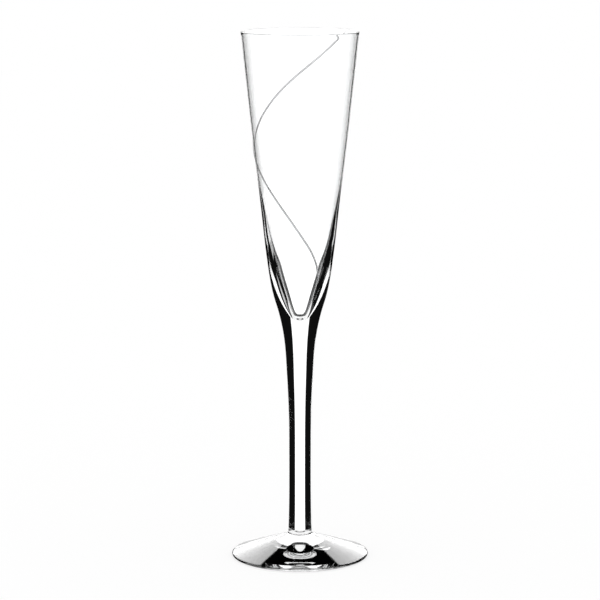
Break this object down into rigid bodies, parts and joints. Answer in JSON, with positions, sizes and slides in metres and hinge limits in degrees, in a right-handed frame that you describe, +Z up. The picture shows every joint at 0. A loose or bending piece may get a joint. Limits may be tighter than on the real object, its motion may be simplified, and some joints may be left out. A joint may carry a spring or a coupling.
{
  "type": "champagne flute",
  "caption": "Tall clear glass champagne flute: deep conical bowl with a fine spiral thread of glass, solid drawn stem and solid conical foot.",
  "frame": {"origin": "centre of the foot's resting face, on the surface that the glass stands on", "axes": "+Z up along the glass's axis; -Y is the side that the pictured view faces; +X to that view's right"},
  "size_m": [0.0674, 0.0674, 0.26],
  "materials": {
    "clear_glass": "clear fire-polished glass",
    "thread_glass": "clear glass thread with a faint grey cast"
  },
  "bodies": {
    "root": {"bowl": "clear_glass", "stem": "clear_glass", "foot": "clear_glass", "spiral_thread": "thread_glass"}
  },
  "joints": []
}
